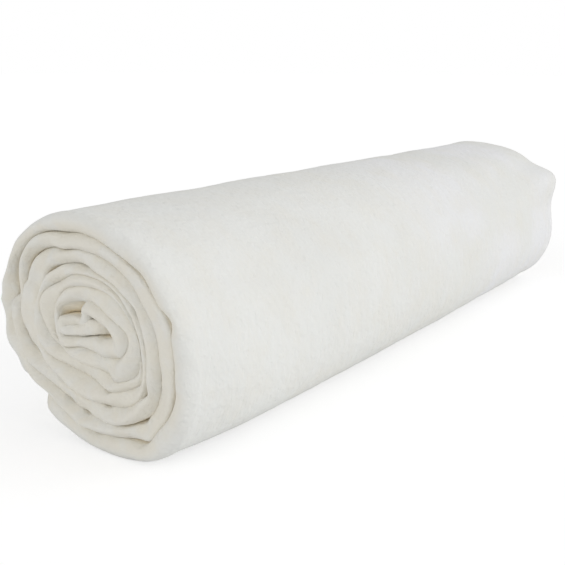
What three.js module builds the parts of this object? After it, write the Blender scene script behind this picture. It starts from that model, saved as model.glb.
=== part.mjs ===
// A cotton quilt batt, folded in four along its length and rolled up from one short edge.
// It is one soft strip. Its loose tail lies low on the left of the near end, and from there it winds
// inwards anticlockwise, under itself, to a blunt tongue that curls into the hollow in the middle.
// Millimetres. X runs along the roll, with the near end at -X. Z is up, and the roll rests on Z = 0.
import * as THREE from "three";

const STRIP_WIDTH = 572; // the batt's width once folded, which is the roll's length
const TURN_GAP = 0.8; // between one turn and the next
const EDGE_ROUND = 4.2; // how far in from each end the folded edges are rounded
const EDGE_DRIFT = 2.5; // how far the outermost turn's edge stands proud or set back, in waves
const FAR_STEP = 9; // how far the outermost turn stands past the others at the far end
const FLAT_SPOT = -74; // height in the section at which the roll lies flat
const OPENING_REACH = 90; // how far in from the near end the turns stand apart
const SET_BACK_REACH = 70; // how far in the core's set-back is felt

const STATIONS_PER_TURN = 36;
const CORE_STATIONS = 56;
const RIM_SAMPLES = 600;
const EDGE_ROWS_DEG = [75, 40]; // turns of the round, at which there are rows over each end's edge
const BODY_ROWS = [0, 0.1, 0.35, 0.8, 1]; // full sections, as shares of the way along

// The winding is measured in the section, seen from the near end, from this point in the hollow.
const EYE = new THREE.Vector2(-0.8, -1.5);

// Distance from the eye to the outer face of each turn, from the tail inwards, at eight places
// round the roll: n is its top and e its right.
const PLACES = ["sw", "s", "se", "e", "ne", "n", "nw", "w"];
const FIRST_PLACE_DEG = 225;
const TURNS = [
  { sw: 72.8, s: 71.1, se: 80.9, e: 72.0, ne: 68.4, n: 69.5, nw: 80.9, w: 79.8 },
  { sw: 61.0, s: 59.7, se: 67.9, e: 60.0, ne: 56.5, n: 58.3, nw: 71.5, w: 74.0 },
  { sw: 57.0, s: 50.8, se: 56.3, e: 50.5, ne: 46.7, n: 48.7, nw: 59.4, w: 63.0 },
  { sw: 45.0, s: 41.4, se: 46.1, e: 42.0, ne: 40.1, n: 40.2, nw: 48.7, w: 50.4 },
  { sw: 33.4, s: 29.8, se: 37.5, e: 37.4, ne: 35.0, n: 36.3, nw: 40.0, w: 40.7 },
  { sw: 24.2, s: 20.7, se: 32.1, e: 36.0, ne: 31.9, n: 29.4, nw: 33.9, w: 35.9 },
];

// Where the wound layers make a soft corner: its place, its height, its width, and the turns in
// which it is felt.
const CORNERS = [
  { atDeg: 205, high: 8, wideDeg: 9.5, fromTurn: 0, toTurn: 1.1 },
  { atDeg: 189, high: 3.6, wideDeg: 9, fromTurn: 0, toTurn: 1.1 },
  { atDeg: 171, high: 2.5, wideDeg: 8, fromTurn: 0, toTurn: 1.1 },
  { atDeg: 144, high: 1.5, wideDeg: 7, fromTurn: 0, toTurn: 1.1 },
  { atDeg: 17, high: 1.8, wideDeg: 10, fromTurn: 0, toTurn: 2 },
  { atDeg: 330, high: 3, wideDeg: 13, fromTurn: 3, toTurn: 6 },
  { atDeg: 157, high: 5, wideDeg: 16, fromTurn: 4, toTurn: 5 },
];
const CORNER_FADE = 0.15; // of a turn, over which a corner comes and goes

// The last turn and the tongue, which folds back under itself: the middle of the strip to the right
// of the eye and up from it, half its thickness, and how far back it is set at the near end.
const CORE = [
  { right: -31.8, up: 1.0, half: 3.8, back: 0 },
  { right: -29.8, up: -5.2, half: 3.5, back: 0 },
  { right: -22.4, up: -9.4, half: 3.0, back: 1 },
  { right: -14.0, up: -9.4, half: 3.0, back: 2 },
  { right: -6.0, up: -8.0, half: 3.5, back: 2.5 },
  { right: 2.0, up: -7.2, half: 4.3, back: 2 },
  { right: 10.0, up: -7.2, half: 5.3, back: 1 },
  { right: 17.5, up: -5.6, half: 5.6, back: 0.5 },
  { right: 22.6, up: -1.0, half: 5.5, back: 0 },
  { right: 22.2, up: 4.8, half: 5.2, back: 0 },
  { right: 17.0, up: 9.2, half: 4.8, back: 0 },
  { right: 11.0, up: 12.6, half: 4.5, back: 0 },
  { right: 4.5, up: 15.5, half: 4.5, back: 0 },
  { right: -1.8, up: 16.6, half: 4.5, back: 0 },
  { right: -7.0, up: 15.0, half: 4.4, back: 1.5 },
  { right: -10.8, up: 10.6, half: 3.8, back: 4 },
  { right: -14.6, up: 6.6, half: 3.0, back: 5 },
  { right: -20.5, up: 5.8, half: 2.9, back: 5 },
  { right: -24.6, up: 2.6, half: 2.9, back: 5 },
  { right: -21.0, up: -0.9, half: 2.9, back: 5 },
  { right: -14.0, up: -1.2, half: 3.1, back: 5 },
  { right: -6.0, up: 1.2, half: 3.6, back: 6 },
  { right: 1.5, up: 4.0, half: 3.8, back: 8 },
  { right: 7.0, up: 5.6, half: 3.2, back: 9 },
];
const CORE_FROM_DEG = 180 + 6 * 360;

// The wall of the hollow over the fold: its place and its distance from the eye.
const HOLLOW_WALL = [
  { atDeg: 90, radius: 18 },
  { atDeg: 112, radius: 21 },
  { atDeg: 125, radius: 22.7 },
  { atDeg: 145, radius: 26 },
  { atDeg: 161, radius: 28.4 },
  { atDeg: 176, radius: 26 },
  { atDeg: 185, radius: 18 },
];

// Where two turns stand apart near the end: the turn whose inner face draws back, and how far.
const OPENINGS = [
  { turn: 0, atDeg: 303, deep: 2, wideDeg: 7 },
  { turn: 0, atDeg: 16, deep: 2.2, wideDeg: 5 },
  { turn: 0, atDeg: 135, deep: 2, wideDeg: 9 },
  { turn: 1, atDeg: 304, deep: 3, wideDeg: 8 },
  { turn: 1, atDeg: 146, deep: 3, wideDeg: 14 },
  { turn: 2, atDeg: 133, deep: 3.2, wideDeg: 9 },
];

// How much fuller the roll is away from its near end, in mm: evenly round it, low on its right, and
// high on its right near the far end.
const FULLER = {
  even: 1.2,
  low: 6.8,
  lowDeg: 315,
  lowWideDeg: 68,
  reach: 105, // distance from the near end over which it grows
  most: 1.12, // share near the near end, and how much of it is lost towards the far end
  thinning: 0.78,
  wholeAt: 75, // distance from the eye at which it is felt in full
  power: 1.5,
};
const FAR_FULLER = { high: 3.4, atDeg: 62, wideDeg: 18 };

// The strip's two blunt ends: where the tail stops, and how far each end is rounded past its last
// station, as a share of half the strip's thickness.
const TAIL = { atDeg: 231, reach: 1 };
const TONGUE = { reach: 0.5 };
const BLUNT_ROWS_DEG = [35, 65];

// A corner of the outermost turn that is turned out like a dog's ear at the far end.
const EAR = { atDeg: 28.5, wideDeg: 12.5, out: 13, past: 6, long: 50, depth: 11 };

const { clamp, degToRad, euclideanModulo, lerp, radToDeg, smoothstep } = THREE.MathUtils;

const placeDeg = 360 / PLACES.length;
const placeRadii = TURNS.flatMap((turn) => PLACES.map((place) => turn[place]));
const winding = new THREE.SplineCurve(placeRadii.map((radius, i) => new THREE.Vector2(i, radius)));
const windingDeg = (placeRadii.length - 1) * placeDeg;

const coreMiddle = new THREE.SplineCurve(CORE.map(({ right, up }) => new THREE.Vector2(right, up)));
const coreSizes = new THREE.SplineCurve(CORE.map(({ half, back }) => new THREE.Vector2(half, back)));
const coreRim = rimOfCore();

function bump(off, wide) {
  return Math.exp(-((off / wide) ** 2));
}

function offPlace(deg, atDeg) {
  return euclideanModulo(deg - atDeg + 180, 360) - 180;
}

function turnAt(deg) {
  return (deg - FIRST_PLACE_DEG) / 360;
}

// Radius at an angle, straight between the rows of a table.
function radiusAt(rows, deg) {
  const after = rows.findIndex((row) => row.atDeg >= deg);
  if (after < 1) {
    return rows.at(after).radius;
  }
  const [low, high] = [rows[after - 1], rows[after]];
  return lerp(low.radius, high.radius, (deg - low.atDeg) / (high.atDeg - low.atDeg));
}

// The core's section as pairs of points on the strip's two faces, from the eye.
function corePairs(stations) {
  return Array.from({ length: stations }, (_, i) => {
    const share = i / (stations - 1);
    const middle = coreMiddle.getPoint(share);
    const ahead = coreMiddle.getTangent(share);
    const { x: half, y: back } = coreSizes.getPoint(share);
    const outward = new THREE.Vector2(ahead.y, -ahead.x).multiplyScalar(half);
    const [outer, inner] = [middle.clone().add(outward), middle.clone().sub(outward)];
    return { outer, inner, turn: TURNS.length, back };
  });
}

// The core's outer face as the last full turn meets it, as far as its angle goes on growing.
function rimOfCore() {
  const rim = [];
  let deg = CORE_FROM_DEG;
  for (const { outer } of corePairs(RIM_SAMPLES)) {
    deg += offPlace(radToDeg(outer.angle()), deg);
    if (deg > (rim.at(-1)?.atDeg ?? 0)) {
      rim.push({ atDeg: deg, radius: outer.length() });
    }
  }
  return rim;
}

// Distance from the eye to the strip's outer face, at an angle that goes on growing inwards.
function outerRadius(deg) {
  if (deg >= CORE_FROM_DEG) {
    const wallDeg = deg - CORE_FROM_DEG - 180;
    const wall = wallDeg > HOLLOW_WALL[0].atDeg ? radiusAt(HOLLOW_WALL, wallDeg) : 0;
    return Math.max(radiusAt(coreRim, deg), wall);
  }
  const turn = turnAt(deg);
  let radius = winding.getPoint((turn * 360) / windingDeg).y;
  for (const { atDeg, high, wideDeg, fromTurn, toTurn } of CORNERS) {
    const begun = smoothstep(turn, fromTurn, fromTurn + CORNER_FADE);
    const over = smoothstep(turn, toTurn - CORNER_FADE, toTurn);
    radius += high * bump(offPlace(deg, atDeg), wideDeg) * (begun - over);
  }
  return radius;
}

// Inner face: a gap outside the next turn in, and more where the turns stand apart.
function innerRadius(deg, openShare) {
  const turn = Math.floor(turnAt(deg));
  let radius = outerRadius(deg + 360) + TURN_GAP;
  for (const opening of OPENINGS.filter((opening) => opening.turn === turn)) {
    radius += openShare * opening.deep * bump(offPlace(deg, opening.atDeg), opening.wideDeg);
  }
  return radius;
}

// The full turns' section as pairs of points on the strip's two faces, from the eye.
function turnPairs(openShare) {
  const stepDeg = 360 / STATIONS_PER_TURN;
  const stations = Math.floor((CORE_FROM_DEG - TAIL.atDeg) / stepDeg);
  return Array.from({ length: stations }, (_, i) => {
    const deg = TAIL.atDeg + i * stepDeg;
    const ray = new THREE.Vector2(Math.cos(degToRad(deg)), Math.sin(degToRad(deg)));
    const outer = ray.clone().multiplyScalar(outerRadius(deg));
    const inner = ray.clone().multiplyScalar(innerRadius(deg, openShare));
    return { outer, inner, turn: turnAt(deg), back: 0 };
  });
}

function middleOf({ outer, inner }) {
  return outer.clone().add(inner).divideScalar(2);
}

// Pairs of points, on the outer and inner face, that round the strip off beyond its last pair.
function bluntEnd(last, before, reachShare) {
  const half = last.outer.clone().sub(last.inner).divideScalar(2);
  const reach = middleOf(last).sub(middleOf(before)).setLength(half.length() * reachShare);
  return BLUNT_ROWS_DEG.map((turnedDeg) => {
    const turned = degToRad(turnedDeg);
    const centre = middleOf(last).addScaledVector(reach, Math.sin(turned));
    return {
      ...last,
      outer: centre.clone().addScaledVector(half, Math.cos(turned)),
      inner: centre.clone().addScaledVector(half, -Math.cos(turned)),
    };
  });
}

// The strip's section from its tail to its tongue.
function stripPairs(openShare) {
  const pairs = [...turnPairs(openShare), ...corePairs(CORE_STATIONS)];
  const tail = bluntEnd(pairs[0], pairs[1], TAIL.reach);
  const tongue = bluntEnd(pairs.at(-1), pairs.at(-2), TONGUE.reach);
  return [...tail.reverse(), ...pairs, ...tongue];
}

// Rows along the roll: distance from the near end, and the share of the strip's thickness there.
function rollRows() {
  const nearEdge = EDGE_ROWS_DEG.map(degToRad).map((turned) => ({
    along: EDGE_ROUND * (1 - Math.sin(turned)),
    thick: Math.cos(turned),
  }));
  const body = BODY_ROWS.map((share) => ({
    along: lerp(EDGE_ROUND, STRIP_WIDTH - EDGE_ROUND, share),
    thick: 1,
  }));
  const farEdge = nearEdge.map(({ along, thick }) => ({ along: STRIP_WIDTH - along, thick }));
  return [...nearEdge, ...body, ...farEdge.reverse()];
}

// How much of the ear a point of the section feels, from 0 to 1.
function earShare(fromEye, along) {
  const deg = radToDeg(fromEye.angle());
  const rim = outerRadius(FIRST_PLACE_DEG + euclideanModulo(deg - FIRST_PLACE_DEG, 360));
  const outermost = smoothstep(fromEye.length(), rim - EAR.depth, rim);
  return outermost * bump(offPlace(deg, EAR.atDeg), EAR.wideDeg) * bump(STRIP_WIDTH - along, EAR.long);
}

// How much further out a point lies than it would at the near end.
function fuller(fromEye, along) {
  const deg = radToDeg(fromEye.angle());
  const share = along / STRIP_WIDTH;
  const low = FULLER.low * bump(offPlace(deg, FULLER.lowDeg), FULLER.lowWideDeg);
  const grown = (1 - Math.exp(-along / FULLER.reach)) * (FULLER.most - FULLER.thinning * share);
  const farRound = bump(offPlace(deg, FAR_FULLER.atDeg), FAR_FULLER.wideDeg);
  const far = FAR_FULLER.high * farRound * smoothstep(share, 0.5, 1);
  const outwards = clamp(fromEye.length() / FULLER.wholeAt, 0, 1) ** FULLER.power;
  return ((FULLER.even + low) * grown + far) * outwards;
}

// How far along the roll a turn's edge stands from a flat end.
function edgeShift(fromEye, toEnd, turn) {
  const clearOfHollow = smoothstep(fromEye.length(), 4, 24);
  const wave = Math.sin(fromEye.length() * 0.31 + 2 * fromEye.angle());
  const drift = EDGE_DRIFT * clearOfHollow * wave * smoothstep(turn, 0.6, 1) * toEnd ** 3;
  const outermost = 1 - smoothstep(turn, 0.5, 2);
  return drift + FAR_STEP * outermost * smoothstep(toEnd, 0.2, 1);
}

// A point of the section, carried to its place along the roll: fuller away from the near end,
// uneven at the ends and flat where it lies.
function rollPoint(fromEye, along, { turn, back }) {
  const toEnd = (along / STRIP_WIDTH) * 2 - 1; // -1 at the near end, 1 at the far end
  const ear = earShare(fromEye, along);
  const shift = edgeShift(fromEye, toEnd, turn) + back * bump(along, SET_BACK_REACH) + ear * EAR.past;
  const radius = fromEye.length() + fuller(fromEye, along) + ear * EAR.out;
  const placed = fromEye.clone().setLength(radius).add(EYE);
  return new THREE.Vector3(along + shift, -placed.x, Math.max(placed.y, FLAT_SPOT));
}

// A ring of points round the strip: out along its outer face from the tail, and back along the inner.
function rollRing({ along, thick }) {
  const openShare = clamp(1 - along / OPENING_REACH, 0, 1);
  const pairs = stripPairs(openShare);
  const face = (side) => {
    return pairs.map((pair) => rollPoint(middleOf(pair).lerp(pair[side], thick), along, pair));
  };
  return [...face("outer"), ...face("inner").reverse()];
}

// Closed surface through the rings, with a cap between the strip's two faces at each end.
function loft(rings) {
  const count = rings[0].length;
  const lastRing = (rings.length - 1) * count;
  const triangles = [];
  const quad = (a, b, c, d) => triangles.push(a, b, c, a, c, d);
  for (let ring = 0; ring < lastRing; ring += count) {
    for (let i = 0; i < count; i++) {
      const next = (i + 1) % count;
      quad(ring + i, ring + count + i, ring + count + next, ring + next);
    }
  }
  for (let i = 0; i < count / 2 - 1; i++) {
    const across = count - 1 - i;
    quad(i, i + 1, across - 1, across);
    quad(lastRing + i, lastRing + across, lastRing + across - 1, lastRing + i + 1);
  }
  const geometry = new THREE.BufferGeometry().setFromPoints(rings.flat());
  geometry.setIndex(triangles);
  geometry.computeVertexNormals();
  geometry.computeBoundingBox();
  return geometry;
}

const rollGeometry = loft(rollRows().map(rollRing));
const cotton = new THREE.MeshStandardMaterial({ color: 0xe9e7de, roughness: 0.95, metalness: 0 });
const roll = new THREE.Mesh(rollGeometry, cotton);
roll.name = "batting_roll";

// The origin is the bottom centre of the roll's box.
const middle = rollGeometry.boundingBox.getCenter(new THREE.Vector3());
roll.position.set(-middle.x, -middle.y, -rollGeometry.boundingBox.min.z);

const part = new THREE.Group();
part.add(roll);

export default part;
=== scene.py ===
"""A roll of cotton batting: one quilt batt, folded in four along its length and rolled up.

The folded batt is modelled flat, as a soft slab with pillowy rims, and is then wound from its
loose tail inwards to the tongue in the hollow. Millimetres are used for the winding's own sizes,
and metres for everything that is made.
"""
import math

import bmesh
import bpy
import numpy as np
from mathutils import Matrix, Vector, noise


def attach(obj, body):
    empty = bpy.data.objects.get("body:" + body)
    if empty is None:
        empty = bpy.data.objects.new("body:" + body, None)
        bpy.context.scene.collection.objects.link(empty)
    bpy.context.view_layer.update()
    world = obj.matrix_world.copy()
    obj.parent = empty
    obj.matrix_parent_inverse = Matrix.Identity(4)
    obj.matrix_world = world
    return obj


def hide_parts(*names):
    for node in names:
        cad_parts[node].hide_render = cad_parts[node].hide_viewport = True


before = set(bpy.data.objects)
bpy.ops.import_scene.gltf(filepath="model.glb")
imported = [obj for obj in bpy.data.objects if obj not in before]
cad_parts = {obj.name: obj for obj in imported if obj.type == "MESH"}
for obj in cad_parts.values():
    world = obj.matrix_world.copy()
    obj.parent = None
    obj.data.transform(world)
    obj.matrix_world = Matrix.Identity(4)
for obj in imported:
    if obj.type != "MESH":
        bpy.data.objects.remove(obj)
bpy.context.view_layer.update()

bl_info = {
    "name": "Rolled cotton batting",
    "version": (1, 0, 0),
    "blender": (4, 5, 0),
    "location": "3D View > Sidebar > Batting",
    "description": "A soft quilt batt, folded and rolled, with a plain studio to show it in",
    "category": "Object",
}

MM = 0.001
ROLL_NODE = "batting_roll"
BODY = "root"
FLAT_PLACE, RIM_CREAM_AND_SHADE_SHARE, CLEFT_SHADE_SHARE = "flat_place", "rim_cream_and_shade", "painted_cleft_shade"  # mesh attributes

# ------------------------------------------------------------------- the winding, in millimetres
# The section is seen from the near end, x to the right and y up. The turns are measured from the
# eye of the hollow, at angles that go on growing anticlockwise from the loose tail.
SECTION_IN_FRAME = (-4.08, 74.0)  # where the section's origin lies, in the frame's Y and Z
NEAR_END = -291.34  # where the strip's near rim lies, in the frame's X
EYE = (-0.8, -1.5)
FIRST_PLACE_DEG = 225.0
PLACE_DEG = 45.0
FLAT_SPOT = -74.0  # height in the section at which the roll lies flat
STRIP_WIDTH = 572.0
BATT_THICK = 8.5  # the folded batt lying flat
TURN_GAP = 0.25  # between one turn and the next, away from the rims
WINDING_STEP_DEG = 0.5  # between the places at which the winding is worked out

# Distance from the eye to the outer face of each turn, from the tail inwards.
#   sw    s     se    e     ne    n     nw    w
TURNS = (
    (72.8, 71.8, 80.9, 72.0, 68.4, 69.5, 80.9, 79.8),
    (60.5, 59.7, 66.4, 60.4, 57.0, 59.3, 72.5, 74.0),
    (54.5, 50.8, 56.3, 50.5, 46.7, 49.3, 61.2, 63.0),
    (45.0, 41.4, 46.1, 42.0, 40.1, 40.2, 48.7, 50.4),
    (33.4, 29.8, 37.5, 37.4, 35.0, 36.3, 40.0, 40.7),
    (24.2, 20.4, 32.0, 37.2, 31.9, 29.4, 33.9, 36.0),
)
RADII = np.array(TURNS).ravel()

# Soft corners of the wound layers: (place, height, width in degrees, first turn, last turn).
CORNERS = (
    (208, 9.8, 9.5, 0, 1.1),
    (194, 3.2, 6.5, 0, 1.1),
    (189, 3.6, 9, 0, 1.1),
    (173, 1.9, 9, 0, 1.1),
    (167, 3.4, 6.5, 0, 1),
    (144, 1.5, 7, 0, 1.1),
    (17, 1.8, 10, 0, 1),
    (17, 3.6, 9, 1, 2),
    (112, -2.8, 12, 1, 2),
    (156, 2.2, 12, 1, 2),
    (63, -1.7, 14, 1, 2),
    (114, -2.5, 10, 2, 3),
    (141, 3.2, 13, 2, 3),
    (152, 1.6, 10, 2, 3),
    (148, 2.0, 12, 3, 4),
    (304, 2.8, 8, 1, 2),
    (335, 1.6, 10, 1, 2),
    (293, -1.8, 11, 5, 6),
    (330, 3.0, 13, 3, 5),
    (330, 1.2, 13, 5, 6),
    (157, 5.0, 16, 4, 5),
)
CORNER_FADE = 0.15  # in turns

# The last turn and the tongue, which folds back under itself: the middle of the strip, from the
# eye, half its thickness and how far it is drawn back at the near end.
CORE = (
    (-32.4, 0.0, 3.6, 0.0),
    (-31.2, -4.4, 3.4, 0.0),
    (-24.5, -6.6, 3.5, 0.5),
    (-14.0, -5.9, 3.1, 1.0),
    (-6.0, -5.7, 4.2, 1.0),
    (2.0, -5.5, 5.1, 1.0),
    (10.0, -5.5, 5.8, 0.5),
    (17.0, -4.0, 6.6, 0.3),
    (20.8, -0.6, 7.4, 0.0),
    (20.8, 4.5, 6.6, 0.0),
    (17.0, 9.2, 4.8, 0.0),
    (11.0, 12.6, 4.5, 0.0),
    (4.5, 15.6, 4.3, 0.0),
    (-1.8, 17.0, 3.7, 0.5),
    (-7.6, 15.8, 3.6, 1.0),
    (-8.8, 11.0, 3.1, 2.5),
    (-13.5, 6.2, 2.9, 3.0),
    (-19.5, 6.4, 3.0, 1.8),
    (-24.8, 5.6, 3.3, 1.2),
    (-25.2, 1.8, 3.3, 1.0),
    (-20.0, 0.6, 3.4, 1.2),
    (-14.0, 1.3, 3.9, 2.0),
    (-8.0, 3.5, 4.6, 3.0),
    (-2.2, 5.6, 5.9, 3.4),
    (3.2, 4.7, 3.8, 4.5),
    (7.6, 4.7, 2.6, 6.0),
)
CORE_FROM_DEG = 180.0 + 6 * 360.0
CORE_STEPS = 40  # for each row above

# The wall of the hollow over the fold, at the near end: (place, distance from the eye).
HOLLOW_WALL = (
    (90, 18.0),
    (112, 20.8),
    (124, 23.2),
    (141, 27.4),
    (157, 31.2),
    (168, 30.4),
    (176, 28.9),
    (185, 18.0),
)

# Where a turn stands apart from the next one inwards, at the near end: (turn, place, how far, width
# in degrees).
OPENINGS = (
    (0, 187, 2.6, 5),
    (0, 243, 2.6, 4),
    (0, 266, 3.6, 4),
    (0, 299, 3.2, 6),
    (0, 340, 1.8, 22),
    (0, 17.5, 4.8, 5),
    (0, 44, 2.6, 19),
    (0, 116, 1.9, 16),
    (0, 150, 2.2, 13),
    (1, 187, 2.4, 5),
    (1, 196, 2.4, 4),
    (1, 224, 4.0, 7),
    (1, 240, 2.4, 5),
    (1, 257, 3.0, 4),
    (1, 296, 2.6, 7),
    (1, 307, 3.6, 5),
    (1, 340, 1.5, 12),
    (1, 113, 1.6, 14),
    (1, 148, 3.0, 16),
    (2, 278, 3.0, 4),
    (2, 331, 3.6, 6),
    (2, 32, 2.2, 9),
    (2, 100, 1.4, 15),
    (2, 133, 2.8, 9),
    (2, 154, 3.0, 11),
    (3, 289, 2.8, 4),
    (6, 359, 6.4, 17),
)
OPENING_OUTER_SHARE = 0.65  # of an opening that is taken from the turn outside it
OPENING_FROM, OPENING_REACH = 4.0, 12.0  # in from the rim, where openings start to close and are closed
HOLLOW_FROM, HOLLOW_REACH = 4.5, 14.5  # the same for the hollow over the fold

# Inside the roll the tongue fills the hollow: it is thicker by a share of its thickness, and longer.
TONGUE_THICKER, TONGUE_LONGER = 0.45, 5.0
TONGUE_THICKER_FROM, TONGUE_THICKER_AT = 30.0, 10.0  # before the strip's end
TONGUE_TIP = 12.0
TONGUE_FILLS_FROM, TONGUE_FILLS_AT = 5.0, 14.0  # in from each rim

# The rims swell a little, and so close the gap between one turn and the next.
RIM_SWELL, RIM_SWELL_AT, RIM_SWELL_WIDE = 0.75, 6.0, 5.5
SET_BACK_REACH = 70.0  # how far in the set-back of the core is felt

# The roll is fuller a little way in from its near end, above all low on its front.
FULLER_ALL_ROUND, FULLER_LOW, FULLER_LOW_DEG, FULLER_LOW_WIDE_DEG = 1.2, 6.8, 315, 68
FULLER_REACH = 105.0
FULLER_NEAR, FULLER_LOST = 1.12, 0.78  # its share at the near end, and what it loses by the far end
FULLER_RADIUS, FULLER_POWER = 75.0, 1.5  # inner turns are pressed out less
# Fuller places near the far end: (place, height, width in degrees).
FAR_FULLER = ((57, 4.0, 18), (345, 2.6, 25))

# The inner turns' rims wave out and in at both ends, and the outer turns stand out at the far end.
WAVE_HIGH, WAVE_PER_MM, WAVES_ROUND = 2.5, 0.31, 2
WAVE_FROM_TURN, WAVE_WHOLE_TURN = 0.6, 1.0
WAVE_FROM_EYE, WAVE_WHOLE_FROM_EYE = 4.0, 24.0
FAR_STEP, FAR_STEP_FROM, FAR_STEP_WHOLE_TURN, FAR_STEP_LAST_TURN = 9.0, 0.2, 0.5, 2.0

TAIL_TIP_DEG = 221.5
TAIL_PUFF, TAIL_PUFF_REACH = 0.6, 12.0  # how much thicker the loose tail is at its tip
TAIL_SLANT, TAIL_SLANT_REACH = 7.0, 16.0  # how far its outer face falls short of its inner face

# Turns whose rim lies further in at the near end: (turn, place, how far, width in degrees).
SUNK_RIMS = (
    (1, 142, 1.6, 18),
    (2, 140, 1.6, 22),
    (1, 318, 2.5, 14),
    (0, 120, 1.5, 20),
    (3, 150, 3.6, 15),
    (3, 60, 2.0, 40),
    (4, 250, 2.0, 30),
    (2, 20, 2.0, 25),
)
# Rims that are sunk as far as a ledge: (turn, place of the ledge, how far, fade in degrees).
LEDGES = (
    (0, 172.1, 2.6, 12),
    (1, 171.1, 7.0, 17),
    (2, 160.0, 2.5, 14),
)
LEDGE_DEG = 2.2
SUNK_REACH = 30.0

# Uneven rims: (size of the lumps, how far they stand out), and how far in they are felt.
EDGE_NOISE = ((34.0, 1.6), (11.0, 0.7))
EDGE_NOISE_REACH, EDGE_NOISE_SEED = 22.0, 3
FAR_NOISE_PLACE = 500.0  # keeps the far rim's lumps unlike the near rim's
# Dents all over: (size, depth, seed).
DENTS = ((60.0, 1.0, 1), (16.0, 0.35, 2))

# The corner of the outermost turn that is turned out at the far end.
EAR_DEG, EAR_WIDE_DEG, EAR_LONG, EAR_DEPTH = 28.5, 12.5, 50.0, 11.0
EAR_OUT, EAR_PAST = 13.0, 6.0

# ------------------------------------------------------------------- the mesh's own divisions
OUTER_STEP, INNER_STEP = 3.2, 1.8  # between stations along the strip, at its tail and its tongue
# Loops round each rim, as shares of the strip's thickness: closer at its faces and between folds.
RIM_SHARES = (
    0, 0.01, 0.04, 0.09, 0.16, 0.25, 0.36, 0.45, 0.5,
    0.55, 0.62, 0.70, 0.75, 0.8, 0.87, 0.93, 0.98, 1,
)
RIM_WIDTH = 10.0
ROW_FIRST, ROW_GROWTH, ROW_WIDEST = 2.5, 1.35, 40.0  # rows across the strip, finest at its rims
SKIN_DEG, SKIN_CUTS = 375.0, 9  # how far round the face that shows is cut finer, and into how many more

# ------------------------------------------------------------------- the flat batt's rims
RIM_ROUND = 5.4
RIM_FULLNESS = 2.05  # 2 for a half-round rim, more for a flatter one
SHOULDER_ROUND = 9.0  # of the near rim towards the face that shows
SHOULDER_WHOLE, SHOULDER_ENDS = 0.2, 0.3  # as shares of the strip's length
SHOULDER_FROM_DEPTH, SHOULDER_AT_DEPTH = 0.35, 0.6
TONGUE_FLATTER = 0.45  # how much less round the tongue's rim is
TONGUE_FLATTER_FROM, TONGUE_FLATTER_AT = 72.0, 50.0  # before the strip's end
CORNER_ROUND = 9.0
# The layers that show at the far rim: from and to which share of the thickness, and how round.
FAR_LAYERS = ((0.0, 0.5, 3.0), (0.5, 0.75, 1.8), (0.75, 1.0, 2.2))
FAR_ROUND_SHARE = 0.3  # how much the far rim is rounded over all its layers

# ------------------------------------------------------------------- where the cotton looks different, with painted shade and painted light
SKIN_DEPTH_FROM, SKIN_DEPTH_AT, SKIN_FADE = 0.3, 0.95, 12.0
RIM_CREAM_AND_SHADE_FROM, RIM_CREAM_AND_SHADE_AT = 12.0, 2.0  # in from the rim: the rims' cream, partly their own tint and partly painted shade of the end faces
SKIN_EDGE_LESS = 0.85  # how much less of the rims' cream and painted end shade there is on the face that shows
CLEFT_SHADE_FROM, CLEFT_SHADE_AT = 3.0, 9.0  # in from the rim, where the covered faces take painted warm shade


def smoothstep(value, low, high):
    share = np.clip((value - low) / (high - low), 0.0, 1.0)
    return share * share * (3.0 - 2.0 * share)


def bump(off, wide):
    return np.exp(-((off / wide) ** 2))


def off_place(deg, at_deg):
    return (deg - at_deg + 180.0) % 360.0 - 180.0


def wound_deg(turn, place_deg):
    """The angle, counted on from the tail, at which a turn passes a place."""
    return FIRST_PLACE_DEG + 360.0 * turn + (place_deg - FIRST_PLACE_DEG) % 360.0


def turn_at(deg):
    return (deg - FIRST_PLACE_DEG) / 360.0


def through(values, place):
    """Smooth curve through evenly spaced values, at places counted from the first."""
    last = len(values) - 1
    place = np.clip(place, 0.0, last)
    base = np.minimum(place.astype(int), last - 1)
    share = place - base
    before, start, end, after = (values[np.clip(base + step, 0, last)] for step in (-1, 0, 1, 2))
    if values.ndim > 1:
        share = share[:, None]
    slope_in, slope_out = (end - before) / 2, (after - start) / 2
    bend = 3 * (end - start) - 2 * slope_in - slope_out
    twist = 2 * (start - end) + slope_in + slope_out
    return start + share * (slope_in + share * (bend + share * twist))


def core_faces():
    """Outer and inner face of the last turn and the tongue, from the eye, and their set-back."""
    core = through(np.array(CORE), np.linspace(0, len(CORE) - 1, CORE_STEPS * len(CORE)))
    middle, half, back = core[:, :2], core[:, 2:3], core[:, 3]
    ahead = np.gradient(middle, axis=0)
    ahead /= np.linalg.norm(ahead, axis=1, keepdims=True)
    outward = np.stack([ahead[:, 1], -ahead[:, 0]], axis=1)
    return middle + outward * half, middle - outward * half, back


def core_radii(outer_face):
    """The core's outer face as radii about the eye, as far as its angle goes on growing, and the
    height of the hollow over it."""
    degs = np.degrees(np.unwrap(np.arctan2(outer_face[:, 1], outer_face[:, 0])))
    degs += CORE_FROM_DEG + (degs[0] - CORE_FROM_DEG) % 360.0 - degs[0]
    turned = int(np.argmax(degs)) + 1
    degs, radii = np.maximum.accumulate(degs[:turned]), np.hypot(*outer_face[:turned].T)
    place = degs - CORE_FROM_DEG - 180.0
    wall = np.interp(place, *np.array(HOLLOW_WALL).T)
    hollow = np.where(place > HOLLOW_WALL[0][0], np.maximum(wall - radii, 0.0), 0.0)
    return degs, radii, hollow


CORE_OUTER, CORE_INNER, CORE_BACK = core_faces()
CORE_DEGS, CORE_RADII, CORE_HOLLOW = core_radii(CORE_OUTER)


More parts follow.
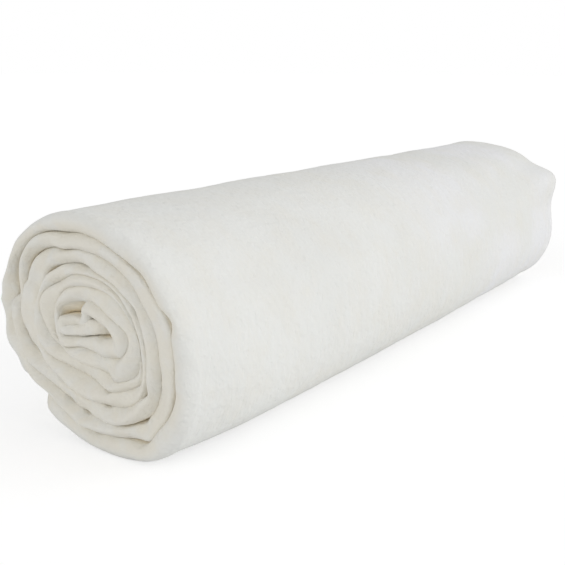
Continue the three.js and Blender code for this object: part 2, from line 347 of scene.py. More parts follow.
def outer_radius(deg):
    """Distance from the eye to the strip's outer face."""
    radius = through(RADII, (deg - FIRST_PLACE_DEG) / PLACE_DEG)
    turn = turn_at(deg)
    for at_deg, high, wide_deg, from_turn, to_turn in CORNERS:
        begun = smoothstep(turn, from_turn, from_turn + CORNER_FADE)
        over = smoothstep(turn, to_turn - CORNER_FADE, to_turn)
        radius = radius + high * bump(off_place(deg, at_deg), wide_deg) * (begun - over)
    return np.where(deg < CORE_FROM_DEG, radius, np.interp(deg, CORE_DEGS, CORE_RADII))


def strip_faces():
    """The strip's two faces, from the eye, at close stations from its tail to its tongue."""
    degs = np.arange(TAIL_TIP_DEG, CORE_FROM_DEG, WINDING_STEP_DEG)
    round_eye = np.stack([np.cos(np.radians(degs)), np.sin(np.radians(degs))], axis=1)
    outer = round_eye * outer_radius(degs)[:, None]
    inner = round_eye * (outer_radius(degs + 360.0) + TURN_GAP)[:, None]
    back = np.concatenate([np.zeros(len(degs)), CORE_BACK])
    outer, inner = np.concatenate([outer, CORE_OUTER]), np.concatenate([inner, CORE_INNER])
    middle = (outer + inner) / 2
    steps = np.hypot(*np.diff(middle, axis=0).T)
    lengths = np.concatenate([[0.0], np.cumsum(steps)])
    turned = np.degrees(np.unwrap(np.arctan2(outer[:, 1], outer[:, 0])))
    turned += TAIL_TIP_DEG - turned[0]
    return lengths, outer, inner, turned, back


LENGTHS, OUTER_FACE, INNER_FACE, TURNED_DEG, SET_BACK = strip_faces()
STRIP_LENGTH = LENGTHS[-1]


def station_lengths():
    """Where the strip has a row of points across it: closer together towards its tongue."""
    rim = RIM_ROUND * 1.25  # clear of the rounded rim
    stations = [rim]
    while stations[-1] < STRIP_LENGTH - 2 * rim:
        share = stations[-1] / STRIP_LENGTH
        stations.append(stations[-1] + OUTER_STEP + (INNER_STEP - OUTER_STEP) * share ** 2)
    return np.array([0.0, *stations, STRIP_LENGTH - rim, STRIP_LENGTH])


def row_places():
    """Where the strip has rows of points along it, from its near rim to its far rim."""
    half = [0.0, RIM_WIDTH]
    step = ROW_FIRST
    while half[-1] + step < STRIP_WIDTH / 2 - step:
        half.append(half[-1] + step)
        step = min(step * ROW_GROWTH, ROW_WIDEST)
    half = np.array(half)
    return np.concatenate([half, STRIP_WIDTH - half[::-1]])


def deselect_all():
    for thing in bpy.context.selected_objects:
        thing.select_set(False)


def points_of(mesh):
    places = np.empty(len(mesh.vertices) * 3, dtype=np.float64)
    mesh.vertices.foreach_get("co", places)
    return places.reshape(-1, 3)


def set_points(mesh, places):
    mesh.vertices.foreach_set("co", np.ascontiguousarray(places, dtype=np.float32).ravel())
    mesh.update()


def flat_batt():
    """The folded batt lying flat: X along the strip, Y across it and Z through it, in metres."""
    stations, rows = station_lengths() * MM, row_places() * MM
    deselect_all()
    bpy.ops.mesh.primitive_grid_add(
        x_subdivisions=len(stations) - 1, y_subdivisions=len(rows) - 1, size=1.0, calc_uvs=False
    )
    batt = bpy.context.active_object
    batt.name = batt.data.name = "batting_roll_soft"
    places = points_of(batt.data)
    steps = np.rint((places[:, :2] + 0.5) * (len(stations) - 1, len(rows) - 1)).astype(int)
    places[:, 0], places[:, 1] = stations[steps[:, 0]], rows[steps[:, 1]]
    set_points(batt.data, places)

    bpy.ops.object.mode_set(mode="EDIT")
    bpy.ops.mesh.select_all(action="SELECT")
    for rise in np.diff(RIM_SHARES) * BATT_THICK * MM:
        bpy.ops.mesh.extrude_region_move(TRANSFORM_OT_translate={"value": (0, 0, rise)})
    bpy.ops.mesh.select_all(action="SELECT")
    bpy.ops.mesh.normals_make_consistent(inside=True)  # winding mirrors the batt, and so turns them out
    cut_skin(batt)
    bpy.ops.object.mode_set(mode="OBJECT")
    round_rims(batt.data)
    return batt


def cut_skin(batt):
    """Finer rows on the face that shows, the outer face of the first turn."""
    skin_end = np.interp(TAIL_TIP_DEG + SKIN_DEG, TURNED_DEG, LENGTHS) * MM
    bpy.ops.mesh.select_all(action="DESELECT")
    bpy.ops.mesh.select_mode(type="EDGE")
    edit = bmesh.from_edit_mesh(batt.data)
    top = BATT_THICK * MM * 0.999
    for edge in edit.edges:
        a, b = (vert.co for vert in edge.verts)
        on_skin = min(a.z, b.z) > top and max(a.x, b.x) < skin_end
        if on_skin and abs(a.x - b.x) < 1e-6 and abs(a.y - b.y) > ROW_WIDEST * MM * 0.5:
            edge.select = True
    edit.select_flush_mode()
    bmesh.update_edit_mesh(batt.data)
    bpy.ops.mesh.subdivide(number_cuts=SKIN_CUTS)


def rounded_inset(off_middle, roundness):
    """How far a rim is drawn in, 0 at its middle and all of its roundness at its faces."""
    off_middle = np.clip(np.abs(off_middle), 0, 1)
    return roundness * (1 - (1 - off_middle ** RIM_FULLNESS) ** (1 / RIM_FULLNESS))


def round_rims(mesh):
    """Draws the rims' loops in towards the batt's faces, and rounds its corners."""
    places = points_of(mesh) / MM
    length, across, depth = places.T
    share = np.clip(depth / BATT_THICK, 0, 1)
    inset = rounded_inset(2 * share - 1, RIM_ROUND)
    to_end = STRIP_LENGTH - length
    inset = inset * (1 - TONGUE_FLATTER * smoothstep(to_end, TONGUE_FLATTER_FROM, TONGUE_FLATTER_AT))
    on_skin = smoothstep(length / STRIP_LENGTH, SHOULDER_ENDS, SHOULDER_WHOLE)
    on_skin = on_skin * smoothstep(share, SHOULDER_FROM_DEPTH, SHOULDER_AT_DEPTH)
    near = inset + (rounded_inset(2 * share - 1, SHOULDER_ROUND) - inset) * on_skin
    far = inset * FAR_ROUND_SHARE + far_layers_inset(share)
    for side, size, insets in ((length, STRIP_LENGTH, (inset, inset)), (across, STRIP_WIDTH, (near, far))):
        low, high = side < 0.01, side > size - 0.01
        side[low] = insets[0][low]
        side[high] = size - insets[1][high]
    round_corners(length, across)
    set_points(mesh, np.stack([length, across, depth], axis=1) * MM)


def far_layers_inset(share):
    """How far the far rim's layers are drawn in: most where one meets the next."""
    drawn_in = np.zeros(len(share))
    for low, high, roundness in FAR_LAYERS:
        off_middle = (2 * share - low - high) / (high - low)
        in_layer = np.abs(off_middle) < 1.001  # its two faces too
        drawn_in = np.where(in_layer, np.maximum(drawn_in, rounded_inset(off_middle, roundness)), drawn_in)
    return drawn_in


def round_corners(length, across):
    """Rounds the batt's four corners, in place."""
    for flip_length in (False, True):
        for flip_across in (False, True):
            a = STRIP_LENGTH - length if flip_length else length
            b = STRIP_WIDTH - across if flip_across else across
            corner = (a < CORNER_ROUND) & (b < CORNER_ROUND)
            u, v = 1 - a[corner] / CORNER_ROUND, 1 - b[corner] / CORNER_ROUND
            a_new = CORNER_ROUND * (1 - u * np.sqrt(1 - v * v / 2))
            b_new = CORNER_ROUND * (1 - v * np.sqrt(1 - u * u / 2))
            length[corner] = STRIP_LENGTH - a_new if flip_length else a_new
            across[corner] = STRIP_WIDTH - b_new if flip_across else b_new


def soft_noise(places, size, seed):
    """Smooth noise between about -1 and 1, in lumps of a size in mm."""
    shift = Vector((seed * 17.3, seed * 5.1, seed * 9.7))
    return np.array([noise.noise(Vector(place) / size + shift) for place in places])


def keep_flat_places(mesh):
    """Stores where each point lies in the flat batt, how much rim cream with painted end shade it takes,
    and how much painted shade of the clefts.
    """
    places = points_of(mesh)
    flat = mesh.attributes.new(FLAT_PLACE, "FLOAT_VECTOR", "POINT")
    flat.data.foreach_set("vector", places.astype(np.float32).ravel())
    length, across, depth = (places / MM).T
    to_rim = np.minimum(across, STRIP_WIDTH - across)
    skin_end = np.interp(TAIL_TIP_DEG + 360, TURNED_DEG, LENGTHS)
    shows = smoothstep(depth / BATT_THICK, SKIN_DEPTH_FROM, SKIN_DEPTH_AT)
    shows = shows * smoothstep(length, skin_end + SKIN_FADE, skin_end)
    # the rims' cream, partly their own tint and partly painted shade of the end faces
    edge = smoothstep(to_rim, RIM_CREAM_AND_SHADE_FROM, RIM_CREAM_AND_SHADE_AT) * (1 - SKIN_EDGE_LESS * shows)
    # painted warm shade on the covered faces, which show only in the clefts and openings
    inside = smoothstep(to_rim, CLEFT_SHADE_FROM, CLEFT_SHADE_AT) * (1 - shows)
    for name, values in ((RIM_CREAM_AND_SHADE_SHARE, edge), (CLEFT_SHADE_SHARE, inside)):
        kept = mesh.attributes.new(name, "FLOAT", "POINT")
        kept.data.foreach_set("value", values.astype(np.float32))


def strip_place(length, share, to_rim):
    """Where a point lies between the strip's faces, from the eye, with the tongue fuller inside."""
    outer = np.stack([np.interp(length, LENGTHS, side) for side in OUTER_FACE.T])
    inner = np.stack([np.interp(length, LENGTHS, side) for side in INNER_FACE.T])
    filled = smoothstep(to_rim, TONGUE_FILLS_FROM, TONGUE_FILLS_AT)
    to_end = STRIP_LENGTH - length
    thicker = TONGUE_THICKER * filled * smoothstep(to_end, TONGUE_THICKER_FROM, TONGUE_THICKER_AT)
    x, y = inner + (outer - inner) * share * (1 + thicker)
    return x + TONGUE_LONGER * filled * smoothstep(to_end, TONGUE_TIP, 0), y


def opened(deg, across, share):
    """How far the openings and the hollow at the near end carry a point away from the eye."""
    near_rim = smoothstep(across, OPENING_REACH, OPENING_FROM)
    carried = np.zeros(len(deg))
    for at_turn, at_deg, deep, wide_deg in OPENINGS:
        off_deg = deg - wound_deg(at_turn, at_deg)
        over = OPENING_OUTER_SHARE * bump(off_deg, wide_deg) * (1 - share)
        under = (1 - OPENING_OUTER_SHARE) * bump(off_deg - 360, wide_deg) * share
        carried = carried + deep * near_rim * (over - under)
    hollow = np.interp(deg + 360.0, CORE_DEGS, CORE_HOLLOW, left=0.0, right=0.0)
    return carried + hollow * (1 - share) * smoothstep(across, HOLLOW_REACH, HOLLOW_FROM)


def swelling(length, to_rim, rim_swell):
    """How much each face of the strip swells, at the rims and at the loose tail's tip."""
    swell = rim_swell * bump(to_rim - RIM_SWELL_AT, RIM_SWELL_WIDE)
    return swell + TAIL_PUFF * bump(length - TAIL_PUFF_REACH / 2, TAIL_PUFF_REACH)


def fullness(radius, angle, across):
    """How far the roll's soft weight presses a point out."""
    place = np.degrees(angle)
    full = (1 - np.exp(-across / FULLER_REACH)) * (FULLER_NEAR - FULLER_LOST * across / STRIP_WIDTH)
    low = bump(off_place(place, FULLER_LOW_DEG), FULLER_LOW_WIDE_DEG)
    full = full * (FULLER_ALL_ROUND + FULLER_LOW * low)
    to_far = smoothstep(2 * across / STRIP_WIDTH, 1, 2)
    for at_deg, high, wide_deg in FAR_FULLER:
        full = full + high * to_far * bump(off_place(place, at_deg), wide_deg)
    return full * np.clip(radius / FULLER_RADIUS, 0, 1) ** FULLER_POWER


def ear_share(deg, across, radius):
    """How much of the turned-out corner a point belongs to."""
    rim = outer_radius(FIRST_PLACE_DEG + (deg - FIRST_PLACE_DEG) % 360)
    ear = smoothstep(radius, rim - EAR_DEPTH, rim) * bump(off_place(deg, EAR_DEG), EAR_WIDE_DEG)
    return ear * bump(STRIP_WIDTH - across, EAR_LONG)


def drift_of_turns(deg, radius, angle, across):
    """How far a turn as a whole lies towards the far end, at its two ends."""
    turn = turn_at(deg)
    to_end = across / STRIP_WIDTH * 2 - 1
    clear = smoothstep(radius, WAVE_FROM_EYE, WAVE_WHOLE_FROM_EYE)
    clear = clear * smoothstep(turn, WAVE_FROM_TURN, WAVE_WHOLE_TURN)
    drift = WAVE_HIGH * clear * np.sin(radius * WAVE_PER_MM + WAVES_ROUND * angle) * to_end ** 3
    outer_turns = smoothstep(turn, FAR_STEP_LAST_TURN, FAR_STEP_WHOLE_TURN)
    return drift + FAR_STEP * smoothstep(to_end, FAR_STEP_FROM, 1.0) * outer_turns


def sunk_at_near_end(deg, length, across):
    """How far the rim lies further in at the near end, by turns, by ledges and in the core."""
    sunk = np.interp(length, LENGTHS, SET_BACK) * bump(across, SET_BACK_REACH)
    near_end = bump(across, SUNK_REACH)
    for at_turn, at_deg, back, wide_deg in SUNK_RIMS:
        sunk = sunk + back * bump(deg - wound_deg(at_turn, at_deg), wide_deg) * near_end
    for at_turn, at_deg, back, wide_deg in LEDGES:
        short_of = wound_deg(at_turn, at_deg) - deg
        sunk = sunk + back * smoothstep(short_of, 0.0, LEDGE_DEG) * bump(short_of, wide_deg) * near_end
    return sunk


def uneven_rim(length, across, depth, to_rim):
    """The lumps of the two cut or folded rims."""
    rim_place = np.where(across < STRIP_WIDTH / 2, 0.0, FAR_NOISE_PLACE)
    strip = np.stack([length, rim_place, depth], axis=1)
    lumps = sum(high * soft_noise(strip, size, EDGE_NOISE_SEED) for size, high in EDGE_NOISE)
    return lumps * bump(to_rim, EDGE_NOISE_REACH)


def wind(mesh, sizes):
    """Carries the flat batt's points to their places in the roll."""
    keep_flat_places(mesh)
    length, across, depth = (points_of(mesh) / MM).T
    share = depth / BATT_THICK
    to_rim = np.minimum(across, STRIP_WIDTH - across)
    length = length + TAIL_SLANT * share * bump(length, TAIL_SLANT_REACH)
    deg = np.interp(length, LENGTHS, TURNED_DEG)

    x, y = strip_place(length, share, to_rim)
    angle, radius = np.arctan2(y, x), np.hypot(x, y)
    radius = radius + opened(deg, across, share)
    radius = radius + swelling(length, to_rim, sizes.rim_swell / MM) * (2 * share - 1)
    ear = ear_share(deg, across, radius)
    along = NEAR_END + across + drift_of_turns(deg, radius, angle, across)
    along = along + sunk_at_near_end(deg, length, across) + ear * sizes.corner_past / MM
    along = along + sizes.unevenness * uneven_rim(length, across, depth, to_rim)
    radius = radius + fullness(radius, angle, across) + ear * sizes.corner_out / MM

    x, y = EYE[0] + radius * np.cos(angle), EYE[1] + radius * np.sin(angle)
    places = np.stack([along, -x, y], axis=1)
    dent = sizes.unevenness * sum(deep * soft_noise(places, size, seed) for size, deep, seed in DENTS)
    x = x + dent * np.cos(angle)
    y = np.maximum(y + dent * np.sin(angle), FLAT_SPOT)
    wound = np.stack([along, SECTION_IN_FRAME[0] - x, y + SECTION_IN_FRAME[1]], axis=1)
    set_points(mesh, wound * MM)


# ------------------------------------------------------------------- materials
# How creamy the cotton is in clouds, in wisps and at its edges, where the cream is partly painted shade of
# the end faces, and how uneven the cream is.
CLOUD_CREAM, WISP_CREAM, RIM_CREAM_AND_SHADE, CREAM_UNEVEN = 0.2, 0.12, 0.8, 0.45
FAR_PAINTED_LIGHT_FROM, FAR_PAINTED_LIGHT_AT = 0.20, 0.42  # across the strip, in metres: the far part is painted lighter and cooler, as painted light
PEBBLE_HIGH, FIBRE_HIGH, DIMPLE_DEEP = 0.0018, 0.0004, 0.0003  # of the felt, in metres


def new_material(name):
    material = bpy.data.materials.new(name)
    material.use_nodes = True
    return material, material.node_tree.nodes, material.node_tree.links


def new_group(name, inputs, outputs):
    """An empty node group with named sockets: {name: (kind, default)}."""
    group = bpy.data.node_groups.new(name, "ShaderNodeTree")
    for socket, (kind, default) in inputs.items():
        made = group.interface.new_socket(name=socket, in_out="INPUT", socket_type=kind)
        made.default_value = default
    for socket, kind in outputs.items():
        group.interface.new_socket(name=socket, in_out="OUTPUT", socket_type=kind)
    return group, group.nodes.new("NodeGroupInput"), group.nodes.new("NodeGroupOutput")


def noise_of(tree, coordinates, scale, detail=2.0, roughness=0.5, stretch=(1, 1, 1), turned=(0, 0, 0)):
    """Smooth noise over coordinates in metres, which may be stretched and turned first."""
    placed = tree.nodes.new("ShaderNodeMapping")
    placed.inputs["Rotation"].default_value = turned
    placed.inputs["Scale"].default_value = stretch
    cloud = tree.nodes.new("ShaderNodeTexNoise")
    cloud.inputs["Scale"].default_value = scale
    cloud.inputs["Detail"].default_value = detail
    cloud.inputs["Roughness"].default_value = roughness
    tree.links.new(coordinates, placed.inputs["Vector"])
    tree.links.new(placed.outputs["Vector"], cloud.inputs["Vector"])
    return cloud.outputs["Fac"]


def blend_of(tree, kind, first, second):
    """A Math node of two values, each a socket or a number."""
    node = tree.nodes.new("ShaderNodeMath")
    node.operation = kind
    for slot, value in enumerate((first, second)):
        if isinstance(value, (int, float)):
            node.inputs[slot].default_value = value
        else:
            tree.links.new(value, node.inputs[slot])
    return node.outputs[0]


def between(tree, value, low, high):
    """The value's range low..high spread over 0..1."""
    node = tree.nodes.new("ShaderNodeMapRange")
    node.interpolation_type = "SMOOTHSTEP"
    node.inputs["From Min"].default_value = low
    node.inputs["From Max"].default_value = high
    tree.links.new(value, node.inputs["Value"])
    return node.outputs["Result"]


def mixed_colour(tree, share, first, second):
    node = tree.nodes.new("ShaderNodeMix")
    node.data_type = "RGBA"
    tree.links.new(share, node.inputs["Factor"])
    for name, value in (("A", first), ("B", second)):
        socket = next(one for one in node.inputs if one.name == name and one.type == "RGBA")
        tree.links.new(value, socket)
    return next(one for one in node.outputs if one.type == "RGBA")


def cotton_tint_group():
    """Colour of needled cotton: cloudy, thin in broad places and creamier in wisps; creamier and darker at
    its edges, partly their own tint and partly painted shade of the end faces; painted lighter and cooler
    towards the far end as painted light; and painted warm shade on the covered faces in the clefts.
    """
    group, given, out = new_group(
        "cotton tint",
        {
            "Vector": ("NodeSocketVector", (0, 0, 0)),
            "Rim cream and shade": ("NodeSocketFloat", 0.0),
            "Inside": ("NodeSocketFloat", 0.0),
            "Cotton": ("NodeSocketColor", (1, 1, 1, 1)),
            "Thin": ("NodeSocketColor", (1, 1, 1, 1)),
            "Far": ("NodeSocketColor", (1, 1, 1, 1)),
            "Cream and end shade": ("NodeSocketColor", (1, 1, 1, 1)),
            "Cleft shade colour": ("NodeSocketColor", (1, 1, 1, 1)),
        },
        {"Color": "NodeSocketColor"},
    )
    place = given.outputs["Vector"]
    cloud = between(group, noise_of(group, place, scale=45.0, detail=3.0), 0.35, 0.68)
    wisp = noise_of(group, place, scale=420.0, detail=3.0, roughness=0.6, stretch=(0.5, 1, 1))
    wisp = between(group, wisp, 0.42, 0.72)
    thin = between(group, noise_of(group, place, scale=11.0), 0.40, 0.62)
    uneven = between(group, noise_of(group, place, scale=75.0), 0.42, 0.66)
    across = group.nodes.new("ShaderNodeSeparateXYZ")
    group.links.new(place, across.inputs["Vector"])
    # painted light: the far part of the roll lighter and cooler
    far = between(group, across.outputs["Y"], FAR_PAINTED_LIGHT_FROM, FAR_PAINTED_LIGHT_AT)

    cream_and_end_shade = blend_of(group, "MULTIPLY", cloud, CLOUD_CREAM)
    cream_and_end_shade = blend_of(group, "ADD", cream_and_end_shade, blend_of(group, "MULTIPLY", wisp, WISP_CREAM))
    # the rims' cream, partly their own tint and partly painted shade of the end faces
    edge = blend_of(group, "MULTIPLY", given.outputs["Rim cream and shade"], RIM_CREAM_AND_SHADE)
    cream_and_end_shade = blend_of(group, "MAXIMUM", cream_and_end_shade, edge)
    uneven = blend_of(group, "MULTIPLY", uneven, CREAM_UNEVEN)

    cotton = mixed_colour(group, far, given.outputs["Cotton"], given.outputs["Far"])
    colour = mixed_colour(group, thin, cotton, given.outputs["Thin"])
    creamy_and_shaded = mixed_colour(group, uneven, given.outputs["Cream and end shade"], given.outputs["Thin"])
    colour = mixed_colour(group, cream_and_end_shade, colour, creamy_and_shaded)
    # painted warm shade on the covered faces, which show only in the clefts and openings
    colour = mixed_colour(group, given.outputs["Inside"], colour, given.outputs["Cleft shade colour"])
    group.links.new(colour, out.inputs["Color"])
    return group


def felt_height_group():
    """Height of the needled felt, in metres: soft pebbles, needle dimples and crossing fibres."""
    group, given, out = new_group(
        "felt height", {"Vector": ("NodeSocketVector", (0, 0, 0))}, {"Height": "NodeSocketFloat"}
    )
    place = given.outputs["Vector"]
    pebble = blend_of(group, "MULTIPLY", noise_of(group, place, scale=200.0), PEBBLE_HIGH)
    fibres = [
        noise_of(group, place, scale=900.0, roughness=0.6, stretch=(0.16, 1, 1), turned=(0, 0, turned))
        for turned in (0.5, -0.8)
    ]
    fibre = blend_of(group, "MULTIPLY", blend_of(group, "MAXIMUM", *fibres), FIBRE_HIGH)
    dimple = group.nodes.new("ShaderNodeTexVoronoi")
    dimple.feature = "SMOOTH_F1"
    dimple.inputs["Scale"].default_value = 330.0
    group.links.new(place, dimple.inputs["Vector"])
    needled = between(group, dimple.outputs["Distance"], 0.0, 0.45)
    needled = blend_of(group, "MULTIPLY", needled, DIMPLE_DEEP)
    height = blend_of(group, "ADD", blend_of(group, "ADD", pebble, fibre), needled)
    group.links.new(height, out.inputs["Height"])
    return group


def attribute_of(nodes, name):
    node = nodes.new("ShaderNodeAttribute")
    node.attribute_name = name
    return node


def cotton_material(look):
    material, nodes, links = new_material("cotton batting")
    shader = nodes["Principled BSDF"]
    # masks for the rims' cream with painted end shade, and for the painted shade of the clefts
    flat, edge, inside = (attribute_of(nodes, name) for name in (FLAT_PLACE, RIM_CREAM_AND_SHADE_SHARE, CLEFT_SHADE_SHARE))

    tint = nodes.new("ShaderNodeGroup")
    tint.node_tree = cotton_tint_group()
    tint.inputs["Cotton"].default_value = look.cotton_colour
    tint.inputs["Thin"].default_value = look.thin_colour
    tint.inputs["Far"].default_value = look.far_painted_light_colour
    tint.inputs["Cream and end shade"].default_value = look.cream_and_end_shade_colour
    tint.inputs["Cleft shade colour"].default_value = look.cleft_shade_colour
    links.new(flat.outputs["Vector"], tint.inputs["Vector"])
    links.new(edge.outputs["Fac"], tint.inputs["Rim cream and shade"])
    links.new(inside.outputs["Fac"], tint.inputs["Inside"])
    links.new(tint.outputs["Color"], shader.inputs["Base Color"])

    felt = nodes.new("ShaderNodeGroup")
    felt.node_tree = felt_height_group()
    links.new(flat.outputs["Vector"], felt.inputs["Vector"])
    relief = nodes.new("ShaderNodeBump")
    relief.inputs["Strength"].default_value = look.felt_relief
    relief.inputs["Distance"].default_value = 1.0
    links.new(felt.outputs["Height"], relief.inputs["Height"])
    links.new(relief.outputs["Normal"], shader.inputs["Normal"])

    shader.inputs["Roughness"].default_value = 0.95
    shader.inputs["Specular IOR Level"].default_value = 0.15
    shader.inputs["Sheen Weight"].default_value = 0.08
    shader.inputs["Sheen Roughness"].default_value = 0.6
    return material


# ------------------------------------------------------------------- what a user may change
class BattSizes(bpy.types.PropertyGroup):
    rim_swell: bpy.props.FloatProperty(
        name="Rim swell", description="How much the strip's faces swell at its rims",
        default=RIM_SWELL * MM, min=0.0, unit="LENGTH",
    )
    corner_out: bpy.props.FloatProperty(
        name="Corner out", description="How far the corner at the far end is turned out",
        default=EAR_OUT * MM, min=0.0, unit="LENGTH",
    )
    corner_past: bpy.props.FloatProperty(
        name="Corner past", description="How far that corner stands past the far end",
        default=EAR_PAST * MM, min=0.0, unit="LENGTH",
    )
    unevenness: bpy.props.FloatProperty(
        name="Unevenness", description="Of its dents and its rims, 0 for none", default=1.0, min=0.0,
    )


class CottonLook(bpy.types.PropertyGroup):
    cotton_colour: bpy.props.FloatVectorProperty(
        name="Cotton", description="Colour of the cotton", subtype="COLOR", size=4,
        default=(0.825, 0.831, 0.808, 1.0), min=0.0, max=1.0,
    )
    thin_colour: bpy.props.FloatVectorProperty(
        name="Thin", description="Colour of the broad places where the cotton lies thinner",
        subtype="COLOR", size=4, default=(0.802, 0.808, 0.785, 1.0), min=0.0, max=1.0,
    )
    # Painted light: the far part of the roll is made lighter and cooler.
    far_painted_light_colour: bpy.props.FloatVectorProperty(
        name="Far painted light", description="Colour of the cotton towards the far end",
        subtype="COLOR", size=4, default=(0.838, 0.843, 0.855, 1.0), min=0.0, max=1.0,
    )
    # The cream at the rims is partly their own tint and partly painted shade of the end faces.
    cream_and_end_shade_colour: bpy.props.FloatVectorProperty(
        name="Cream and end shade", description="Colour of its denser wisps and of its folded edges", subtype="COLOR",
        size=4, default=(0.802, 0.766, 0.674, 1.0), min=0.0, max=1.0,
    )
    # Painted warm shade of the clefts: the covered faces show only there.
    cleft_shade_colour: bpy.props.FloatVectorProperty(
        name="Cleft shade colour", description="Colour of the faces that the winding covers", subtype="COLOR",
        size=4, default=(0.93, 0.84, 0.66, 1.0), min=0.0, max=1.0,
    )
    felt_relief: bpy.props.FloatProperty(
        name="Relief", description="How strongly the felted fibres show", default=0.6, min=0.0, max=1.0,
    )


class StudioSettings(bpy.types.PropertyGroup):
    camera_azimuth: bpy.props.FloatProperty(
        name="Camera azimuth", description="Round the roll, from straight in front of its side",
        default=math.radians(-54.64), subtype="ANGLE",
    )
    camera_elevation: bpy.props.FloatProperty(
        name="Camera elevation", description="Above the horizon",
        default=math.radians(14.29), subtype="ANGLE",
    )
    camera_distance: bpy.props.FloatProperty(
        name="Camera distance", description="From the point that it looks at",
        default=0.7657, unit="LENGTH",
    )
    camera_target: bpy.props.FloatVectorProperty(
        name="Camera target", description="The point that the camera looks at",
        default=(-0.0036, 0.0654, 0.0358), subtype="TRANSLATION",
    )
    camera_lens: bpy.props.FloatProperty(
        name="Camera lens", description="Focal length in mm", default=54.16,
    )
    key_azimuth: bpy.props.FloatProperty(
        name="Key azimuth", description="Round the roll, from straight in front of its side",
        default=math.radians(30), subtype="ANGLE",
    )
    key_elevation: bpy.props.FloatProperty(
        name="Key elevation", description="Above the horizon", default=math.radians(14), subtype="ANGLE",
    )
    key_strength: bpy.props.FloatProperty(
        name="Key light", description="Strength of the soft light from the front", default=1.31,
    )
    fill_azimuth: bpy.props.FloatProperty(
        name="Fill azimuth", description="Round the roll, from straight in front of its side",
        default=math.radians(-90), subtype="ANGLE",
    )
    fill_elevation: bpy.props.FloatProperty(
        name="Fill elevation", description="Above the horizon", default=math.radians(20), subtype="ANGLE",
    )
    fill_strength: bpy.props.FloatProperty(
        name="Fill light", description="Strength of the soft light on the near end", default=0.61,
    )
    lamp_spread: bpy.props.FloatProperty(
        name="Lamp spread", description="How wide both lamps are, seen from the roll",
        default=math.radians(50), subtype="ANGLE",
    )
    sky_strength: bpy.props.FloatProperty(
        name="Room light", description="Strength of the even light from all round", default=0.60,
    )
    floor_bounce: bpy.props.FloatProperty(
        name="Floor bounce", description="Share of the light that the floor sends back to the roll",
        default=0.9, min=0.0, max=1.0,
    )
    floor_grey: bpy.props.FloatProperty(
        name="Floor grey", description="Share of the light that is seen on the floor, with its shadow",
        default=0.55, min=0.0, max=1.0,
    )
    floor_white: bpy.props.FloatProperty(
        name="Floor white", description="Light that is seen on the floor all over", default=0.585, min=0.0,
    )


class BATTING_OT_roll(bpy.types.Operator):
    """Model the folded batt flat and wind it into the roll"""

    bl_idname = "batting.roll"
    bl_label = "Wind the batt"

    def execute(self, context):
        sizes, look = context.scene.batt_sizes, context.scene.cotton_look
        roll = flat_batt()
        wind(roll.data, sizes)
        roll.data.materials.append(cotton_material(look))
        deselect_all()
        roll.select_set(True)
        context.view_layer.objects.active = roll
        bpy.ops.object.shade_smooth()
        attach(roll, BODY)
        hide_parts(ROLL_NODE)
        return {"FINISHED"}


class BATTING_OT_studio(bpy.types.Operator):
    """Set up the pale floor, the soft light and the camera"""

    bl_idname = "batting.studio"
    bl_label = "Set up the studio"

    def execute(self, context):
        settings = context.scene.studio_settings
        make_camera(settings)
        make_floor(settings)
        make_lamps(settings)
        make_world(settings)
        return {"FINISHED"}


def make_camera(settings):
    back = direction_of(settings.camera_azimuth, settings.camera_elevation)
    place = Vector(settings.camera_target) + back * settings.camera_distance
    turn = (-back).to_track_quat("-Z", "Y").to_euler()
    bpy.ops.object.camera_add(location=place, rotation=turn)
    camera = bpy.context.active_object
    camera.name = "camera"
    camera.data.lens = settings.camera_lens
    camera.data.sensor_width = 36.0
    bpy.context.scene.camera = camera


def seen_share(nodes, links):
    """1 for rays from the eye, straight or by way of a mirror or glass, and 0 for all others."""
    path = nodes.new("ShaderNodeLightPath")
    share = path.outputs["Is Camera Ray"]
    for kind in ("Is Glossy Ray", "Is Transmission Ray"):
        either = nodes.new("ShaderNodeMath")
        either.operation = "MAXIMUM"
        links.new(share, either.inputs[0])
        links.new(path.outputs[kind], either.inputs[1])
        share = either.outputs[0]
    return share


def make_floor(settings):
    """A matt floor that is seen nearly white, with the roll's shadow on it."""
    bpy.ops.mesh.primitive_plane_add(size=40.0, location=(0, 0, 0))
    floor = bpy.context.active_object
    floor.name = "floor"
    material, nodes, links = new_material("pale floor")
    nodes.remove(nodes["Principled BSDF"])
    matt, seen = nodes.new("ShaderNodeBsdfDiffuse"), nodes.new("ShaderNodeBsdfDiffuse")
    for shader, grey in ((matt, settings.floor_bounce), (seen, settings.floor_grey)):
        shader.inputs["Color"].default_value = (grey, grey, grey, 1.0)
    white = nodes.new("ShaderNodeEmission")
    white.inputs["Strength"].default_value = settings.floor_white
    both = nodes.new("ShaderNodeAddShader")
    links.new(seen.outputs[0], both.inputs[0])
    links.new(white.outputs[0], both.inputs[1])
    mix = nodes.new("ShaderNodeMixShader")
    links.new(seen_share(nodes, links), mix.inputs[0])
    links.new(matt.outputs[0], mix.inputs[1])
    links.new(both.outputs[0], mix.inputs[2])
    links.new(mix.outputs[0], nodes["Material Output"].inputs["Surface"])
    floor.data.materials.append(material)


def direction_of(azimuth, elevation):
    """Unit vector from the roll towards a place round it, azimuth counted from straight in front."""
    return Vector((
        math.sin(azimuth) * math.cos(elevation),
        -math.cos(azimuth) * math.cos(elevation),
        math.sin(elevation),
    ))


def make_lamps(settings):
    """Two broad, soft lamps, one on the roll's front and one on its near end."""
    lamps = (
        ("key light", settings.key_azimuth, settings.key_elevation, settings.key_strength),
        ("fill light", settings.fill_azimuth, settings.fill_elevation, settings.fill_strength),
    )
    for name, azimuth, elevation, strength in lamps:
        turn = (-direction_of(azimuth, elevation)).to_track_quat("-Z", "Y").to_euler()
        bpy.ops.object.light_add(type="SUN", rotation=turn)
        lamp = bpy.context.active_object
        lamp.name = name
        lamp.data.energy = strength
        lamp.data.angle = settings.lamp_spread


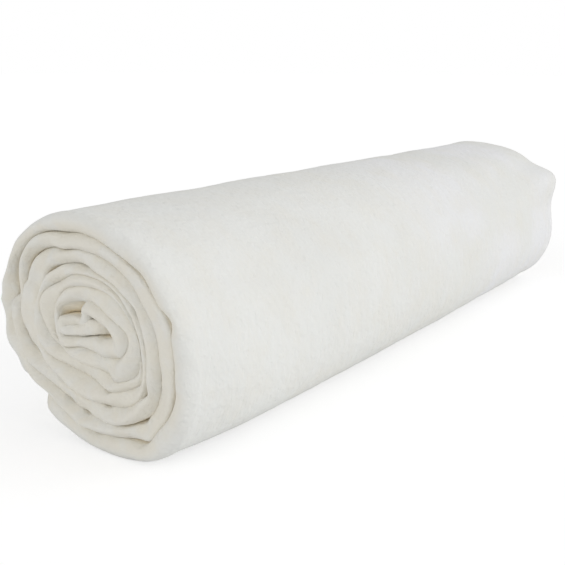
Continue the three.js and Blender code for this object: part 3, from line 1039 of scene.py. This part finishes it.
def make_world(settings):
    """Even light from all round, which is seen as white."""
    world = bpy.data.worlds.new("studio")
    bpy.context.scene.world = world
    world.use_nodes = True
    nodes, links = world.node_tree.nodes, world.node_tree.links
    light, seen = nodes["Background"], nodes.new("ShaderNodeBackground")
    for background, strength in ((light, settings.sky_strength), (seen, 1.0)):
        background.inputs["Color"].default_value = (1, 1, 1, 1)
        background.inputs["Strength"].default_value = strength
    mix = nodes.new("ShaderNodeMixShader")
    links.new(seen_share(nodes, links), mix.inputs[0])
    links.new(light.outputs[0], mix.inputs[1])
    links.new(seen.outputs[0], mix.inputs[2])
    links.new(mix.outputs[0], nodes["World Output"].inputs["Surface"])


class BATTING_PT_panel(bpy.types.Panel):
    """Lists the steps and what may be changed for each"""

    bl_idname = "BATTING_PT_panel"
    bl_label = "Batting"
    bl_space_type = "VIEW_3D"
    bl_region_type = "UI"
    bl_category = "Batting"

    def draw(self, context):
        scene = context.scene
        self.layout.operator(BATTING_OT_roll.bl_idname)
        self.list_settings(scene.batt_sizes)
        self.list_settings(scene.cotton_look)
        self.layout.operator(BATTING_OT_studio.bl_idname)
        self.list_settings(scene.studio_settings)

    def list_settings(self, group):
        for name in type(group).__annotations__:
            self.layout.prop(group, name)


CLASSES = (BattSizes, CottonLook, StudioSettings, BATTING_OT_roll, BATTING_OT_studio, BATTING_PT_panel)


def register():
    for one in CLASSES:
        bpy.utils.register_class(one)
    bpy.types.Scene.batt_sizes = bpy.props.PointerProperty(type=BattSizes)
    bpy.types.Scene.cotton_look = bpy.props.PointerProperty(type=CottonLook)
    bpy.types.Scene.studio_settings = bpy.props.PointerProperty(type=StudioSettings)


def unregister():
    del bpy.types.Scene.studio_settings
    del bpy.types.Scene.cotton_look
    del bpy.types.Scene.batt_sizes
    for one in reversed(CLASSES):
        bpy.utils.unregister_class(one)


def main():
    register()
    bpy.context.scene.view_settings.view_transform = "Standard"
    bpy.ops.batting.studio()
    bpy.ops.batting.roll()


if __name__ == "__main__":
    main()
